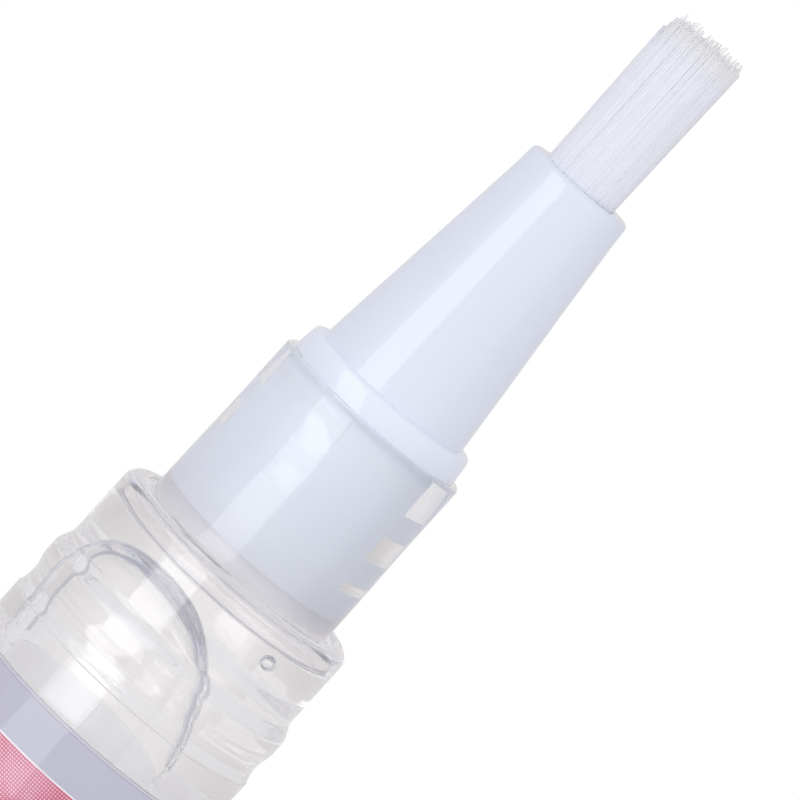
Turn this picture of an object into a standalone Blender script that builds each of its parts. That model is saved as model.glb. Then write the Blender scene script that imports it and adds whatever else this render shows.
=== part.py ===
"""Brush pen for lash glue remover: clear barrel, brush head, screw-driven piston and twist knob.

Metres, +Z up. The pen stands on the flat end of its twist knob, with the brush at the top and
the pen's axis on Z. Each piece is one object. Names in capitals are sizes that can be set by
themselves; names in small letters are worked out from them.
"""

import math
import random

import bmesh
import bpy
from mathutils import Vector

MM = 0.001

# Clearances
SEAT_GAP = 0.05 * MM
FIT_GAP = 0.1 * MM
RUNNING_GAP = 0.3 * MM

# Barrel: body, cap bead, shoulder and neck
MECHANISM_BORE_DIAMETER = 11.2 * MM
MECHANISM_WALL = 0.9 * MM
BODY_EDGE_STEP = 0.03 * MM
BODY_EDGE_LENGTH = 0.66 * MM
GROOVE_DEPTH = 0.155 * MM
GROOVE_LENGTH = 0.24 * MM
BEAD_STEP = 0.015 * MM
BEAD_REAR_RAMP = 0.85 * MM
BEAD_CREST_LENGTH = 0.55 * MM
BEAD_FRONT_RAMP = 1.0 * MM
SHOULDER_STEP = 0.35 * MM
SHOULDER_LENGTH = 3.67 * MM
SHOULDER_FILLET = 0.6 * MM
SHOULDER_THICKNESS = 1.38 * MM
MOAT_WIDTH = 0.42 * MM
MOAT_DEPTH = 0.38 * MM
MOAT_CORNER = 0.08 * MM
NECK_FOOT_DIAMETER = 9.72 * MM
NECK_DRAFT = 0.05 * MM
NECK_WALL = 0.92 * MM
NECK_FOOT_LENGTH = 4.2 * MM
NECK_HEIGHT = 8.42 * MM
NECK_LIP_RADIUS = 0.2 * MM
RESERVOIR_WALL = 1.3 * MM
CEILING_FILLET = 0.3 * MM
REAR_EDGE_CHAMFER = 0.2 * MM

# Label
LABEL_THICKNESS = 0.1 * MM
LABEL_LENGTH = 66.0 * MM
LABEL_SETBACK = 9.15 * MM
LABEL_SEAM_DEGREES = 3.0
LABEL_SEAM_AT_DEGREES = 90.0

# Screw drive
THREAD_LEAD = 2.5 * MM
THREAD_TURNS = 16
THREAD_MAJOR_DIAMETER = 4.8 * MM
THREAD_DEPTH = 0.45 * MM
THREAD_CLEARANCE = 0.13 * MM
ROD_FLATS_WIDTH = 3.5 * MM
ROD_TAIL_SPACE = 5.0 * MM
ROD_THREAD_INSET = 0.2 * MM
KEY_ENGAGEMENT = 5.2 * MM
ROD_NECK_DIAMETER = 2.8 * MM
ROD_NECK_LENGTH = 3.4 * MM
ROD_HEAD_DIAMETER = 4.4 * MM
ROD_HEAD_LENGTH = 2.6 * MM
NUT_LENGTH = 5.0 * MM

# Piston and its two seal rings
PISTON_LENGTH = 8.4 * MM
PISTON_SIDE_GAP = 0.22 * MM
PISTON_NOSE_CHAMFER = 0.5 * MM
PISTON_REAR_CLEARANCE = 0.65 * MM
PISTON_FRONT_CLEARANCE = 0.6 * MM
PISTON_LIP_LENGTH = 2.1 * MM
SEAL_WIDTH = 1.2 * MM
SEAL_SECTION_DEPTH = 0.95 * MM
SEAL_CORNER = 0.3 * MM
SEAL_END_DISTANCE = 1.3 * MM

# Turning sleeve, ratchet and click spring
SLEEVE_WALL = 1.1 * MM
SLEEVE_FLANGE_THICKNESS = 1.2 * MM
SLEEVE_KEY_HEIGHT = 0.5 * MM
SLEEVE_KEY_WIDTH = 1.6 * MM
RATCHET_TEETH = 10
RATCHET_TOOTH_HEIGHT = 0.8 * MM
RATCHET_TIP_GAP = 0.1 * MM
RATCHET_RING_LENGTH = 3.7 * MM
RATCHET_CROWN_LENGTH = 3.4 * MM
SPLINE_DEPTH = 0.12 * MM
SPRING_LENGTH = 8.0 * MM
SPRING_WIRE_DIAMETER = 0.5 * MM
SPRING_TURNS = 5
SPRING_END_RISE = 0.58 * MM

# Twist knob and the bush that closes the barrel
KNOB_STEP = 0.05 * MM
KNOB_LENGTH = 20.6 * MM
KNOB_END_THICKNESS = 2.0 * MM
KNOB_CAVITY = 0.5 * MM
KNOB_EDGE_CHAMFER = 0.45 * MM
KNOB_BOSS_LENGTH = 14.0 * MM
KNOB_BOSS_WALL = 0.9 * MM
KNOB_FLUTES = 12
KNOB_FLUTE_DEPTH = 0.22 * MM
KNOB_FLUTE_MARGIN = 2.6 * MM
KNOB_FLUTE_RUNOUT = 0.44 * MM
BUSH_FLANGE_INSET = 0.4 * MM
BUSH_FLANGE_THICKNESS = 0.8 * MM

# Brush head
COLLAR_STEP = 0.355 * MM
COLLAR_DRAFT = 0.145 * MM
COLLAR_HEIGHT = 1.19 * MM
COLLAR_FILLET = 0.25 * MM
PLUG_LENGTH = 7.79 * MM
PLUG_CORE_GAP = 0.14 * MM
PLUG_LEAD_IN = 0.25 * MM
PLUG_FLOOR_THICKNESS = 2.5 * MM
PLUG_RIB_SPANS = ((0.0, 1.45 * MM), (1.92 * MM, 3.15 * MM), (4.47 * MM, 5.62 * MM))
CONE_LENGTH = 11.82 * MM
CONE_STEP = 0.485 * MM
CONE_TIP_WALL = 0.725 * MM
CONE_TIP_FILLET = 0.17 * MM
CONE_MOUTH_CLEARANCE = 0.09 * MM
CONE_MOUTH_LENGTH = 4.6 * MM
CONE_SPIGOT_WALL = 0.6 * MM
CONE_SPIGOT_LENGTH = 5.2 * MM
CONE_BORE_DIAMETER = 4.5 * MM
TUBE_DIAMETER = 1.4 * MM
TUBE_BORE_DIAMETER = 0.8 * MM
RETAINER_LENGTH = 6.0 * MM
RETAINER_CHAMFER = 0.2 * MM

# Bristles
TUFT_ROOT_DIAMETER = 3.56 * MM
TUFT_FLARE = 0.14 * MM
TUFT_REACH = 8.2 * MM
TUFT_BASE_CLEARANCE = 0.2 * MM
TUFT_BASE_THICKNESS = 0.85 * MM
STRAND_DIAMETER = 0.13 * MM
STRAND_SPACING = 0.174 * MM
STRAND_ROOT_DEPTH = 0.4 * MM
STRAND_END_SCATTER = 0.35 * MM
STRAND_LEAN = 0.012 * MM
BRISTLE_SEED = 7

# Mesh density
OUTER_SIDES = 40
INNER_SIDES = 24
THREAD_SIDES = 12
THREAD_ROWS_PER_TURN = 4
SPRING_POINTS_PER_TURN = 12
WELD_DISTANCE = 0.0001 * MM

stroke = THREAD_LEAD * THREAD_TURNS

# Radii, each from the piece that it fits
mechanism_radius = MECHANISM_BORE_DIAMETER / 2
body_radius = mechanism_radius + MECHANISM_WALL
reservoir_radius = body_radius - RESERVOIR_WALL
shoulder_radius = body_radius - SHOULDER_STEP
neck_foot_radius = NECK_FOOT_DIAMETER / 2
neck_radius = neck_foot_radius - NECK_DRAFT
neck_bore_radius = neck_radius - NECK_WALL
sleeve_bore_radius = THREAD_MAJOR_DIAMETER / 2 + RUNNING_GAP
sleeve_radius = sleeve_bore_radius + SLEEVE_WALL
knob_radius = body_radius - KNOB_STEP
collar_foot_radius = neck_radius - COLLAR_STEP
collar_top_radius = collar_foot_radius - COLLAR_DRAFT
cone_foot_radius = collar_top_radius - CONE_STEP
cone_bore_radius = CONE_BORE_DIAMETER / 2
cone_spigot_radius = cone_bore_radius + CONE_SPIGOT_WALL
tuft_root_radius = TUFT_ROOT_DIAMETER / 2
cone_mouth_radius = tuft_root_radius + CONE_MOUTH_CLEARANCE
cone_tip_radius = cone_mouth_radius + CONE_TIP_WALL

# Heights on the axis, from the knob's end up
barrel_rear = KNOB_LENGTH + RUNNING_GAP + BUSH_FLANGE_THICKNESS + SEAT_GAP
rod_rear = KNOB_END_THICKNESS + ROD_TAIL_SPACE
nut_rear = rod_rear + stroke + KEY_ENGAGEMENT
nut_front = nut_rear + NUT_LENGTH
ledge = nut_front + SEAT_GAP
rod_thread_front = nut_front - ROD_THREAD_INSET
piston_rear = ledge + PISTON_REAR_CLEARANCE
piston_front = piston_rear + PISTON_LENGTH
ceiling = piston_front + stroke + PISTON_FRONT_CLEARANCE
crest = ceiling + SHOULDER_THICKNESS
rim = crest + NECK_HEIGHT
collar_foot = rim + SEAT_GAP
collar_top = collar_foot + COLLAR_HEIGHT
plug_end = collar_foot - PLUG_LENGTH
plug_floor = plug_end + PLUG_FLOOR_THICKNESS
cone_foot = collar_top + SEAT_GAP
cone_tip = cone_foot + CONE_LENGTH
tuft_base_top = cone_tip - CONE_MOUTH_LENGTH - SEAT_GAP
tuft_base_bottom = tuft_base_top - TUFT_BASE_THICKNESS
retainer_front = tuft_base_bottom - SEAT_GAP
retainer_rear = retainer_front - RETAINER_LENGTH
sleeve_front = nut_rear - RUNNING_GAP
ring_front = nut_rear - SEAT_GAP
ring_face = ring_front - RATCHET_RING_LENGTH
crown_face = ring_face - 2 * RATCHET_TOOTH_HEIGHT - RATCHET_TIP_GAP
crown_rear = crown_face - RATCHET_CROWN_LENGTH
flange_front = crown_rear - SPRING_LENGTH - 2 * SEAT_GAP
flange_rear = flange_front - SLEEVE_FLANGE_THICKNESS
bush_front = flange_rear - RUNNING_GAP


def material(name, color, roughness, metallic=0.0, transmission=0.0, alpha=1.0):
    """A Principled material in one colour."""
    made = bpy.data.materials.new(name)
    made.use_nodes = True
    shader = made.node_tree.nodes["Principled BSDF"]
    shader.inputs["Base Color"].default_value = (*color, 1.0)
    shader.inputs["Roughness"].default_value = roughness
    shader.inputs["Metallic"].default_value = metallic
    shader.inputs["Transmission Weight"].default_value = transmission
    shader.inputs["Alpha"].default_value = alpha
    made.diffuse_color = (*color, alpha)
    return made


def finished(name, mesh_builder, surface, smooth_degrees=35):
    """The object of a bmesh, with faces that point out and round faces shaded smooth."""
    bmesh.ops.recalc_face_normals(mesh_builder, faces=mesh_builder.faces)
    mesh = bpy.data.meshes.new(name)
    mesh_builder.to_mesh(mesh)
    mesh_builder.free()
    mesh.shade_smooth()
    mesh.set_sharp_from_angle(angle=math.radians(smooth_degrees))
    mesh.materials.append(surface)
    made = bpy.data.objects.new(name, mesh)
    bpy.context.collection.objects.link(made)
    return made


def arc(center_radius, center_height, radius, start_degrees, end_degrees, steps):
    """Points (radius, height) on an arc in the turning plane, both ends included."""
    points = []
    for step in range(steps + 1):
        angle = math.radians(start_degrees + (end_degrees - start_degrees) * step / steps)
        points.append((center_radius + radius * math.cos(angle), center_height + radius * math.sin(angle)))
    return points


def eased(start, end, steps):
    """Points (radius, height) between two points on an S-shaped ramp, both ends included."""
    points = []
    for step in range(steps + 1):
        share = step / steps
        swell = (1 - math.cos(math.pi * share)) / 2
        points.append((start[0] + (end[0] - start[0]) * swell, start[1] + (end[1] - start[1]) * share))
    return points


def turned(name, outline, surface, sides=INNER_SIDES):
    """A turned solid: outline runs from axis to axis, or round a closed section off the axis."""
    shape = bmesh.new()
    corners = [shape.verts.new((radius, 0, height)) for radius, height in outline]
    edges = [shape.edges.new(pair) for pair in zip(corners, corners[1:])]
    if outline[0][0] > 0 and outline[-1][0] > 0:
        edges.append(shape.edges.new((corners[-1], corners[0])))
    bmesh.ops.spin(
        shape,
        geom=corners + edges,
        axis=(0, 0, 1),
        cent=(0, 0, 0),
        angle=2 * math.pi,
        steps=sides,
        use_merge=True,
    )
    bmesh.ops.remove_doubles(shape, verts=shape.verts, dist=WELD_DISTANCE)
    return finished(name, shape, surface)


def ring(radius, height, sides):
    """A ring of points. Radius and height are numbers, or functions of the angle."""
    points = []
    for side in range(sides):
        angle = 2 * math.pi * side / sides
        across = radius(angle) if callable(radius) else radius
        up = height(angle) if callable(height) else height
        points.append(Vector((across * math.cos(angle), across * math.sin(angle), up)))
    return points


def lofted(name, rings, surface, hollow=False):
    """A skin over rings of equally many points, closed by end faces, or back to the first ring."""
    shape = bmesh.new()
    loops = [[shape.verts.new(point) for point in points] for points in rings]
    pairs = list(zip(loops, loops[1:]))
    if hollow:
        pairs.append((loops[-1], loops[0]))
    else:
        shape.faces.new(loops[0])
        shape.faces.new(loops[-1])
    for lower, upper in pairs:
        for side in range(len(lower)):
            after = (side + 1) % len(lower)
            shape.faces.new((lower[side], lower[after], upper[after], upper[side]))
    bmesh.ops.remove_doubles(shape, verts=shape.verts, dist=WELD_DISTANCE)
    return finished(name, shape, surface)


def build_barrel(surface):
    """The clear barrel in one moulding: rear opening, body, cap bead, shoulder and neck."""
    bead = body_radius - BEAD_STEP
    groove = body_radius - GROOVE_DEPTH
    crest_inner = neck_foot_radius + MOAT_WIDTH
    fillet = min(SHOULDER_FILLET, shoulder_radius - crest_inner)
    moat_bottom = crest - MOAT_DEPTH
    bead_front = crest - SHOULDER_LENGTH
    bead_top = bead_front - BEAD_FRONT_RAMP
    bead_bottom = bead_top - BEAD_CREST_LENGTH
    groove_front = bead_bottom - BEAD_REAR_RAMP
    groove_rear = groove_front - GROOVE_LENGTH
    body_edge = groove_rear - BODY_EDGE_LENGTH
    outline = [
        (mechanism_radius, barrel_rear),
        (body_radius - REAR_EDGE_CHAMFER, barrel_rear),
        (body_radius, barrel_rear + REAR_EDGE_CHAMFER),
        (body_radius, body_edge),
    ]
    outline += eased((body_radius - BODY_EDGE_STEP, body_edge + BODY_EDGE_STEP), (groove, groove_rear), 4)
    outline += eased((groove, groove_front), (bead, bead_bottom), 4)
    outline += eased((bead, bead_top), (shoulder_radius, bead_front), 5)
    outline += arc(shoulder_radius - fillet, crest - fillet, fillet, 0, 90, 5)
    outline += [
        (crest_inner, crest),
        (crest_inner - MOAT_CORNER, moat_bottom),
        (neck_foot_radius + MOAT_CORNER, moat_bottom),
        (neck_foot_radius, moat_bottom + MOAT_CORNER),
        (neck_radius, crest + NECK_FOOT_LENGTH),
    ]
    outline += arc(neck_radius - NECK_LIP_RADIUS, rim - NECK_LIP_RADIUS, NECK_LIP_RADIUS, 0, 90, 3)
    outline += [
        (neck_bore_radius + NECK_LIP_RADIUS / 2, rim),
        (neck_bore_radius, rim - NECK_LIP_RADIUS / 2),
        (neck_bore_radius, ceiling),
    ]
    outline += arc(reservoir_radius - CEILING_FILLET, ceiling - CEILING_FILLET, CEILING_FILLET, 90, 0, 3)
    outline += [(reservoir_radius, ledge), (mechanism_radius, ledge)]
    return turned("clear_barrel", outline, surface, OUTER_SIDES)


def build_label(surface):
    """The label: a sheet wrapped round the body with a narrow seam left open."""
    inside = body_radius + SEAT_GAP
    outside = inside + LABEL_THICKNESS
    front = crest - LABEL_SETBACK
    rear = front - LABEL_LENGTH
    seam = math.radians(LABEL_SEAM_DEGREES)
    start = math.radians(LABEL_SEAM_AT_DEGREES) + seam / 2
    shape = bmesh.new()
    section = ((inside, rear), (outside, rear), (outside, front), (inside, front))
    corners = [
        shape.verts.new((radius * math.cos(start), radius * math.sin(start), height))
        for radius, height in section
    ]
    sheet_end = shape.faces.new(corners)
    bmesh.ops.spin(
        shape,
        geom=[sheet_end],
        axis=(0, 0, 1),
        cent=(0, 0, 0),
        angle=2 * math.pi - seam,
        steps=OUTER_SIDES,
    )
    return finished("label", shape, surface)


def build_gel(surface):
    """The gel in the reservoir, from the piston to the ceiling."""
    radius = reservoir_radius - SEAT_GAP
    front = ceiling - SEAT_GAP
    rear = piston_front + SEAT_GAP
    outline = [(0, rear), (radius, rear)]
    outline += arc(radius - CEILING_FILLET, front - CEILING_FILLET, CEILING_FILLET, 0, 90, 3)
    outline += [(0, front)]
    return turned("gel_column", outline, surface)


def build_neck_gel(surface):
    """The gel that stands in the neck, from the ceiling to the plug's end."""
    radius = neck_bore_radius - SEAT_GAP
    outline = [(0, ceiling), (radius, ceiling), (radius, plug_end - SEAT_GAP), (0, plug_end - SEAT_GAP)]
    return turned("neck_gel", outline, surface)


def build_plug(surface):
    """The brush seat: a collar on the neck's rim and a ribbed plug in the neck's bore."""
    rib_radius = neck_bore_radius - SEAT_GAP
    core_radius = neck_bore_radius - PLUG_CORE_GAP
    bore = cone_spigot_radius + SEAT_GAP
    feed_hole = TUBE_DIAMETER / 2 + SEAT_GAP
    outline = [(feed_hole, plug_end), (rib_radius - PLUG_LEAD_IN, plug_end)]
    for number, (start, end) in enumerate(PLUG_RIB_SPANS):
        low = plug_end + start
        high = plug_end + end
        step = rib_radius - core_radius
        if number == 0:
            outline += [(rib_radius, low + PLUG_LEAD_IN)]
        else:
            outline += [(core_radius, low - step), (rib_radius, low)]
        outline += [(rib_radius, high), (core_radius, high + step)]
    outline += [(core_radius, collar_foot), (collar_foot_radius, collar_foot)]
    outline += arc(collar_top_radius - COLLAR_FILLET, collar_top - COLLAR_FILLET, COLLAR_FILLET, 0, 90, 4)
    outline += [(bore, collar_top), (bore, plug_floor), (feed_hole, plug_floor)]
    return turned("collar_plug", outline, surface, OUTER_SIDES)


def build_cone(surface):
    """The cone that holds the bristles: a spigot in the collar, a tapered nose and its mouth."""
    spigot_end = cone_foot - CONE_SPIGOT_LENGTH
    shoulder = cone_tip - CONE_MOUTH_LENGTH
    outline = [
        (cone_bore_radius, spigot_end),
        (cone_spigot_radius, spigot_end),
        (cone_spigot_radius, cone_foot),
        (cone_foot_radius, cone_foot),
    ]
    outline += arc(cone_tip_radius - CONE_TIP_FILLET, cone_tip - CONE_TIP_FILLET, CONE_TIP_FILLET, 0, 90, 3)
    outline += [(cone_mouth_radius, cone_tip), (cone_mouth_radius, shoulder), (cone_bore_radius, shoulder)]
    return turned("brush_cone", outline, surface, OUTER_SIDES)


def build_retainer(surface):
    """The bush that is pressed into the cone and holds the bristles' fused base."""
    outside = cone_bore_radius - SEAT_GAP
    inside = TUBE_DIAMETER / 2 + SEAT_GAP
    outline = [
        (inside, retainer_rear),
        (outside - RETAINER_CHAMFER, retainer_rear),
        (outside, retainer_rear + RETAINER_CHAMFER),
        (outside, retainer_front),
        (inside, retainer_front),
    ]
    return turned("tuft_retainer", outline, surface)


def build_feed_tube(surface):
    """The tube that leads the gel from the plug's end to the bristles."""
    outside = TUBE_DIAMETER / 2
    inside = TUBE_BORE_DIAMETER / 2
    rear = plug_end + SEAT_GAP
    front = retainer_front - SEAT_GAP
    outline = [(inside, rear), (outside, rear), (outside, front), (inside, front)]
    return turned("feed_tube", outline, surface, INNER_SIDES // 2)


def strand_roots():
    """Places of the strands on their base, as a triangular pattern inside the tuft's root."""
    limit = tuft_root_radius - STRAND_DIAMETER / 2
    row_step = STRAND_SPACING * math.sqrt(3) / 2
    rows = int(limit / row_step)
    places = []
    for row in range(-rows, rows + 1):
        shift = STRAND_SPACING / 2 if row % 2 else 0
        columns = int(limit / STRAND_SPACING) + 1
        for column in range(-columns, columns + 1):
            place = Vector((column * STRAND_SPACING + shift, row * row_step))
            if place.length <= limit:
                places.append(place)
    return places


def build_tuft(surface):
    """The bristles: three-sided strands fused to a thin round base."""
    dice = random.Random(BRISTLE_SEED)
    spread = 1 + TUFT_FLARE / tuft_root_radius
    base_radius = cone_bore_radius - TUFT_BASE_CLEARANCE
    low = tuft_base_top - STRAND_ROOT_DEPTH
    top = cone_tip + TUFT_REACH
    strands = bmesh.new()
    for place in strand_roots():
        turn = dice.uniform(0, 2 * math.pi)
        lean = Vector((dice.uniform(-1, 1), dice.uniform(-1, 1))) * STRAND_LEAN
        end = place * spread + lean
        high = top - dice.uniform(0, STRAND_END_SCATTER)
        lower = []
        upper = []
        for corner in range(3):
            angle = turn + 2 * math.pi * corner / 3
            offset = Vector((math.cos(angle), math.sin(angle))) * STRAND_DIAMETER / 2
            lower.append(strands.verts.new((*(place + offset), low)))
            upper.append(strands.verts.new((*(end + offset), high)))
        strands.faces.new(lower[::-1])
        strands.faces.new(upper)
        for corner in range(3):
            after = (corner + 1) % 3
            strands.faces.new((lower[corner], lower[after], upper[after], upper[corner]))
    cutter = finished("strands_to_join", strands, surface)
    cutter.hide_render = True
    cutter.display_type = "WIRE"
    outline = [
        (0, tuft_base_bottom),
        (base_radius, tuft_base_bottom),
        (base_radius, tuft_base_top),
        (0, tuft_base_top),
    ]
    tuft = turned("bristle_tuft", outline, surface)
    join = tuft.modifiers.new("fuse the strands", "BOOLEAN")
    join.operation = "UNION"
    join.solver = "EXACT"
    join.object = cutter
    return tuft


def build_piston(surface):
    """The piston: two seal grooves outside, and a snap socket for the rod's head behind."""
    outside = reservoir_radius - PISTON_SIDE_GAP
    groove = reservoir_radius - SEAT_GAP - SEAL_SECTION_DEPTH - SEAT_GAP
    half_groove = SEAL_WIDTH / 2 + SEAT_GAP
    mouth = ROD_NECK_DIAMETER / 2 + RUNNING_GAP
    socket = ROD_HEAD_DIAMETER / 2 + RUNNING_GAP
    lip_front = piston_rear + PISTON_LIP_LENGTH
    socket_front = rod_head_front() + RUNNING_GAP
    outline = [
        (0, socket_front),
        (socket, socket_front),
        (socket, lip_front),
        (mouth, lip_front),
        (mouth, piston_rear),
        (outside - SEAL_CORNER, piston_rear),
        (outside, piston_rear + SEAL_CORNER),
    ]
    for middle in seal_middles():
        outline += [
            (outside, middle - half_groove),
            (groove, middle - half_groove),
            (groove, middle + half_groove),
            (outside, middle + half_groove),
        ]
    outline += [
        (outside, piston_front - PISTON_NOSE_CHAMFER),
        (outside - PISTON_NOSE_CHAMFER, piston_front),
        (0, piston_front),
    ]
    return turned("piston", outline, surface)


def seal_middles():
    """Heights of the two seal rings' middles: rear, then front."""
    inset = SEAL_END_DISTANCE + SEAL_WIDTH / 2
    return (piston_rear + inset, piston_front - inset)


def build_seal(name, middle, surface):
    """A seal ring of soft rubber in one of the piston's grooves."""
    outside = reservoir_radius - SEAT_GAP
    inside = outside - SEAL_SECTION_DEPTH
    half = SEAL_WIDTH / 2
    outline = [
        (inside, middle - half + SEAL_CORNER),
        (inside + SEAL_CORNER, middle - half),
        (outside - SEAL_CORNER, middle - half),
        (outside, middle - half + SEAL_CORNER),
        (outside, middle + half - SEAL_CORNER),
        (outside - SEAL_CORNER, middle + half),
        (inside + SEAL_CORNER, middle + half),
        (inside, middle + half - SEAL_CORNER),
    ]
    return turned(name, outline, surface)


def rod_head_front():
    """Height of the rod's front end."""
    return rod_thread_front + ROD_NECK_LENGTH + ROD_HEAD_LENGTH


def thread_radius(angle, height):
    """The screw's radius: the crest climbs one lead in a turn that runs from +X to +Y."""
    phase = 2 * math.pi * height / THREAD_LEAD - angle
    return THREAD_MAJOR_DIAMETER / 2 - THREAD_DEPTH * (1 - math.cos(phase)) / 2


def within_flats(radius, angle, half_width):
    """A radius cut back to two flats that face +X and -X."""
    across = abs(math.cos(angle))
    return half_width / across if radius * across > half_width else radius


def build_rod(surface):
    """The screw rod: a thread on two rounded sides, two flats, and a head that snaps into the piston."""
    half = ROD_FLATS_WIDTH / 2
    rows = round((rod_thread_front - rod_rear) / THREAD_LEAD * THREAD_ROWS_PER_TURN)
    neck = ROD_NECK_DIAMETER / 2
    head = ROD_HEAD_DIAMETER / 2
    head_rear = rod_thread_front + ROD_NECK_LENGTH
    rings = []
    for row in range(rows + 1):
        height = rod_rear + (rod_thread_front - rod_rear) * row / rows
        rings.append(
            ring(
                lambda angle, up=height: within_flats(thread_radius(angle, up), angle, half),
                height,
                THREAD_SIDES,
            )
        )
    rings.append(ring(neck, rod_thread_front, THREAD_SIDES))
    rings.append(ring(neck, head_rear, THREAD_SIDES))
    rings.append(ring(head, head_rear, THREAD_SIDES))
    rings.append(ring(head, head_rear + ROD_HEAD_LENGTH / 2, THREAD_SIDES))
    rings.append(ring(neck, rod_head_front(), THREAD_SIDES))
    return lofted("screw_rod", rings, surface)


def splined(radius, angle):
    """A press-fit outside with a spline at every other point of the ring."""
    step = round(angle / (2 * math.pi) * OUTER_SIDES)
    return radius - (SPLINE_DEPTH if step % 2 else 0)


def build_nut(surface):
    """The drive nut: pressed into the barrel against its ledge, with the thread inside."""
    outside = mechanism_radius - SEAT_GAP
    rows = round(NUT_LENGTH / THREAD_LEAD * THREAD_ROWS_PER_TURN)
    rings = [
        ring(lambda angle: splined(outside, angle), nut_rear, OUTER_SIDES),
        ring(lambda angle: splined(outside, angle), nut_front, OUTER_SIDES),
    ]
    for row in range(rows + 1):
        height = nut_front - NUT_LENGTH * row / rows
        rings.append(
            ring(
                lambda angle, up=height: thread_radius(angle, up) + THREAD_CLEARANCE,
                height,
                OUTER_SIDES,
            )
        )
    return lofted("drive_nut", rings, surface, hollow=True)


def key_radius(angle, plain):
    """A round outside or bore with two key ribs that face +Y and -Y."""
    on_key = plain * abs(math.cos(angle)) < SLEEVE_KEY_WIDTH / 2
    return plain + (SLEEVE_KEY_HEIGHT if on_key else 0)


def build_sleeve(surface):
    """The turning sleeve: pressed into the knob, keyed to the rod in front and to the ratchet crown."""
    rear = KNOB_END_THICKNESS + SEAT_GAP
    flange = mechanism_radius - RUNNING_GAP
    key_rear = sleeve_front - KEY_ENGAGEMENT
    half_key = ROD_FLATS_WIDTH / 2 + FIT_GAP
    key_round = THREAD_MAJOR_DIAMETER / 2 + FIT_GAP

    def outer(angle):
        return key_radius(angle, sleeve_radius)

    def keyed_bore(angle):
        return within_flats(key_round, angle, half_key)

    rings = [
        ring(sleeve_radius, rear, OUTER_SIDES),
        ring(sleeve_radius, flange_rear, OUTER_SIDES),
        ring(flange, flange_rear, OUTER_SIDES),
        ring(flange, flange_front, OUTER_SIDES),
        ring(outer, flange_front, OUTER_SIDES),
        ring(outer, crown_face, OUTER_SIDES),
        ring(sleeve_radius, crown_face, OUTER_SIDES),
        ring(sleeve_radius, sleeve_front, OUTER_SIDES),
        ring(keyed_bore, sleeve_front, OUTER_SIDES),
        ring(keyed_bore, key_rear, OUTER_SIDES),
        ring(sleeve_bore_radius, key_rear, OUTER_SIDES),
        ring(sleeve_bore_radius, rear, OUTER_SIDES),
    ]
    return lofted("drive_sleeve", rings, surface, hollow=True)


def tooth_height(angle, start, direction):
    """A saw-tooth rim: each tooth ramps up over three steps of the ring and drops in the fourth."""
    share = (angle / (2 * math.pi) * RATCHET_TEETH) % 1.0
    steps = OUTER_SIDES // RATCHET_TEETH
    level = round(share * steps) % steps
    return start + direction * RATCHET_TOOTH_HEIGHT * level / (steps - 1)


def build_ratchet_ring(surface):
    """The ratchet ring: pressed into the barrel behind the nut, with its teeth facing back."""
    outside = mechanism_radius - SEAT_GAP
    inside = sleeve_radius + RUNNING_GAP / 2

    def teeth(angle):
        return tooth_height(angle, ring_face, -1)

    rings = [
        ring(lambda angle: splined(outside, angle), ring_front, OUTER_SIDES),
        ring(lambda angle: splined(outside, angle), teeth, OUTER_SIDES),
        ring(inside, teeth, OUTER_SIDES),
        ring(inside, ring_front, OUTER_SIDES),
    ]
    return lofted("ratchet_ring", rings, surface, hollow=True)


def build_ratchet_crown(surface):
    """The ratchet crown: slides on the sleeve's keys, with its teeth facing the ring."""
    outside = mechanism_radius - RUNNING_GAP

    def teeth(angle):
        return tooth_height(angle, crown_face, 1)

    def bore(angle):
        return key_radius(angle, sleeve_radius + FIT_GAP)

    rings = [
        ring(outside, crown_rear, OUTER_SIDES),
        ring(outside, teeth, OUTER_SIDES),
        ring(bore, teeth, OUTER_SIDES),
        ring(bore, crown_rear, OUTER_SIDES),
    ]
    return lofted("ratchet_crown", rings, surface, hollow=True)


def build_spring(surface):
    """The click spring: a coil between the sleeve's flange and the crown, with closed ends."""
    wire = SPRING_WIRE_DIAMETER / 2
    key_top = sleeve_radius + SLEEVE_KEY_HEIGHT
    middle = (key_top + mechanism_radius) / 2
    low = flange_front + SEAT_GAP + wire
    high = crown_rear - SEAT_GAP - wire
    count = SPRING_TURNS * SPRING_POINTS_PER_TURN
    active = SPRING_TURNS - 2
    curve = bpy.data.curves.new("click_spring", "CURVE")
    curve.dimensions = "3D"
    curve.bevel_depth = wire
    curve.bevel_resolution = 1
    curve.use_fill_caps = True
    spline = curve.splines.new("POLY")
    spline.points.add(count)
    for number in range(count + 1):
        turns = number / SPRING_POINTS_PER_TURN
        climb = (high - low - 2 * SPRING_END_RISE) * min(max(turns - 1, 0), active) / active
        ends = SPRING_END_RISE * (min(turns, 1) + max(turns - 1 - active, 0))
        angle = 2 * math.pi * turns
        spline.points[number].co = (
            middle * math.cos(angle),
            middle * math.sin(angle),
            low + climb + ends,
            1,
        )
    curve.materials.append(surface)
    made = bpy.data.objects.new("click_spring", curve)
    bpy.context.collection.objects.link(made)
    return made


def build_bush(surface):
    """The bush: pressed into the barrel's rear, it carries the sleeve and keeps its flange in."""
    outside = mechanism_radius - SEAT_GAP
    inside = sleeve_radius + FIT_GAP
    flange_rear_face = barrel_rear - SEAT_GAP - BUSH_FLANGE_THICKNESS
    flange_front_face = barrel_rear - SEAT_GAP
    outline = [
        (inside, flange_rear_face),
        (body_radius - BUSH_FLANGE_INSET, flange_rear_face),
        (body_radius - BUSH_FLANGE_INSET, flange_front_face),
        (outside, flange_front_face),
        (outside, bush_front - FIT_GAP),
        (outside - FIT_GAP, bush_front),
        (inside, bush_front),
    ]
    return turned("barrel_bush", outline, surface)


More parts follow.
